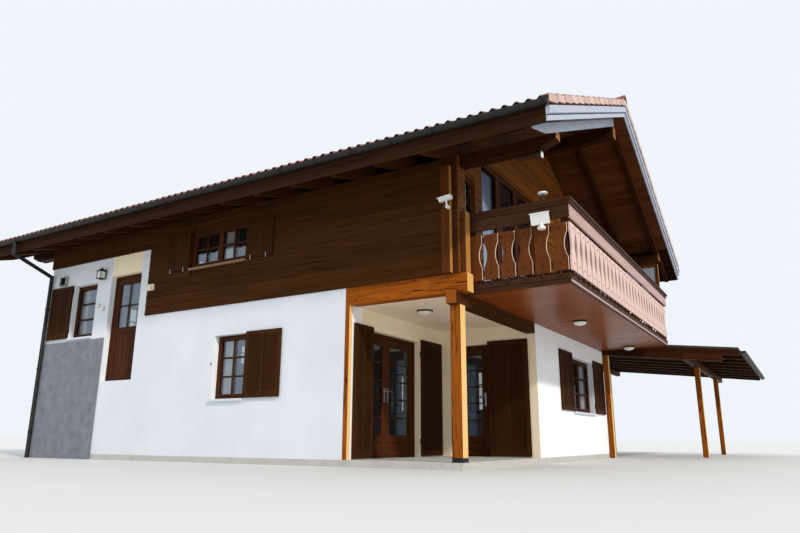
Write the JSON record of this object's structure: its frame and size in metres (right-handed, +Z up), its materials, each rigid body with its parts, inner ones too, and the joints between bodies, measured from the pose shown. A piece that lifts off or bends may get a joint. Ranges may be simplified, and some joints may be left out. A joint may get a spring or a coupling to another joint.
{
  "type": "alpine chalet",
  "caption": "Two-storey alpine chalet with a low gable roof, balcony, corner loggia, hinged doors and shutters, and a side canopy.",
  "frame": {"origin": "centre of the house's footprint on the ground", "axes": "+X along the gable, away from the entrance side; +Y along the ridge to the rear; +Z up"},
  "size_m": [15.978, 14.295, 6.7951],
  "materials": {
    "render": "matt lime render on masonry",
    "concrete": "plain concrete",
    "rough_render": "rough grey render",
    "beam_timber": "orange-brown stained timber",
    "dark_boarding": "very dark brown stained boards",
    "roof_timber": "dark red-brown stained timber",
    "roof_boards": "glossy red-brown boards",
    "edge_boards": "whitish weathered boards",
    "balcony_timber": "pinkish-brown stained timber",
    "roof_tile": "matt red-brown clay tiles",
    "gutter_metal": "anthracite sheet metal",
    "iron": "black iron",
    "frame_timber": "dark red-brown paint",
    "shutter_timber": "dark brown stain",
    "pane": "clear glass",
    "white_paint": "white",
    "canopy_cover": "dark grey sheet"
  },
  "bodies": {
    "house": {"floor_slab": "concrete", "entrance_floor": "concrete", "upper_floor": "concrete", "side_wall_front": "render", "side_wall_rear": "render", "far_side_wall": "render", "rear_wall": "render", "loggia_pier_left": "render", "loggia_pier_corner": "render", "loggia_pier_front": "render", "door_lintels": "render", "gable_wall_lower": "render", "plinth_render": "rough_render", "posts": "beam_timber", "side_beam": "beam_timber", "cross_beam": "beam_timber", "side_boarding": "dark_boarding", "gable_boarding": "dark_boarding", "corner_boards": "dark_boarding", "purlins": "roof_timber", "rafters": "roof_timber", "roof_deck": "roof_boards", "roof_tiles": "roof_tile", "ridge_tiles": "roof_tile", "roof_edge_boards": "edge_boards", "gutters": "gutter_metal", "balcony_frame": "balcony_timber", "balcony_deck": "balcony_timber", "balcony_soffit": "roof_boards", "balcony_rail": "balcony_timber", "balusters_front": "balcony_timber", "balusters_sides": "balcony_timber", "wind_screen": "edge_boards", "window_frames": "frame_timber", "window_glass": "pane", "window_sills": "concrete", "entrance_frame": "frame_timber", "loggia_door_frames": "frame_timber", "shutter_hinges": "iron", "fixed_shutters": "shutter_timber", "fittings": "white_paint", "canopy_beams": "beam_timber", "canopy_rafters": "beam_timber", "canopy_roof": "canopy_cover"},
    "entrance_door_leaf": {"entrance_door": "shutter_timber"},
    "loggia_door_leaf": {"loggia_door": "shutter_timber"},
    "french_leaf_left": {"french_leaf_left": "frame_timber"},
    "french_leaf_right": {"french_leaf_right": "frame_timber"},
    "shutter_french_left": {"shutter_french_left": "shutter_timber"},
    "shutter_french_right": {"shutter_french_right": "shutter_timber"},
    "shutter_loggia_door": {"shutter_loggia_door": "shutter_timber"},
    "shutter_gable_left": {"shutter_gable_left": "shutter_timber"},
    "shutter_gable_right": {"shutter_gable_right": "shutter_timber"},
    "shutter_side_window": {"shutter_side_window": "shutter_timber"},
    "shutter_hall_window": {"shutter_hall_window": "shutter_timber"}
  },
  "joints": [
    {"name": "entrance_door_hinge", "type": "hinge", "parent": "house", "child": "entrance_door_leaf", "pos_m": [-3.6217, 2.829, 2.54], "axis": [0, 0, 1], "range_deg": [0, 95]},
    {"name": "loggia_door_hinge", "type": "hinge", "parent": "house", "child": "loggia_door_leaf", "pos_m": [-0.5917, -3.391, 1.07], "axis": [0, 0, 1], "range_deg": [0, 95]},
    {"name": "french_left_hinge", "type": "hinge", "parent": "house", "child": "french_leaf_left", "pos_m": [-3.084, -2.9367, 1.07], "axis": [0, 0, 1], "range_deg": [0, 95]},
    {"name": "french_right_hinge", "type": "hinge", "parent": "house", "child": "french_leaf_right", "pos_m": [-1.676, -2.9367, 1.07], "axis": [0, 0, -1], "range_deg": [0, 95]},
    {"name": "shutter_french_left_hinge", "type": "hinge", "parent": "house", "child": "shutter_french_left", "pos_m": [-3.166, -3.151, 1.13], "axis": [0, 0, 1], "range_deg": [0, 180]},
    {"name": "shutter_french_right_hinge", "type": "hinge", "parent": "house", "child": "shutter_french_right", "pos_m": [-1.594, -3.151, 1.13], "axis": [0, 0, -1], "range_deg": [0, 180]},
    {"name": "shutter_loggia_door_hinge", "type": "hinge", "parent": "house", "child": "shutter_loggia_door", "pos_m": [-0.806, -4.101, 1.13], "axis": [0, 0, -1], "range_deg": [0, 180]},
    {"name": "shutter_gable_left_hinge", "type": "hinge", "parent": "house", "child": "shutter_gable_left", "pos_m": [1.284, -5.051, 1.5], "axis": [0, 0, 1], "range_deg": [0, 180]},
    {"name": "shutter_gable_right_hinge", "type": "hinge", "parent": "house", "child": "shutter_gable_right", "pos_m": [2.876, -5.051, 1.5], "axis": [0, 0, -1], "range_deg": [0, 180]},
    {"name": "shutter_side_window_hinge", "type": "hinge", "parent": "house", "child": "shutter_side_window", "pos_m": [-3.836, -0.991, 1.6], "axis": [0, 0, -1], "range_deg": [0, 180]},
    {"name": "shutter_hall_window_hinge", "type": "hinge", "parent": "house", "child": "shutter_hall_window", "pos_m": [-3.836, 4.161, 2.98], "axis": [0, 0, 1], "range_deg": [0, 180]}
  ]
}
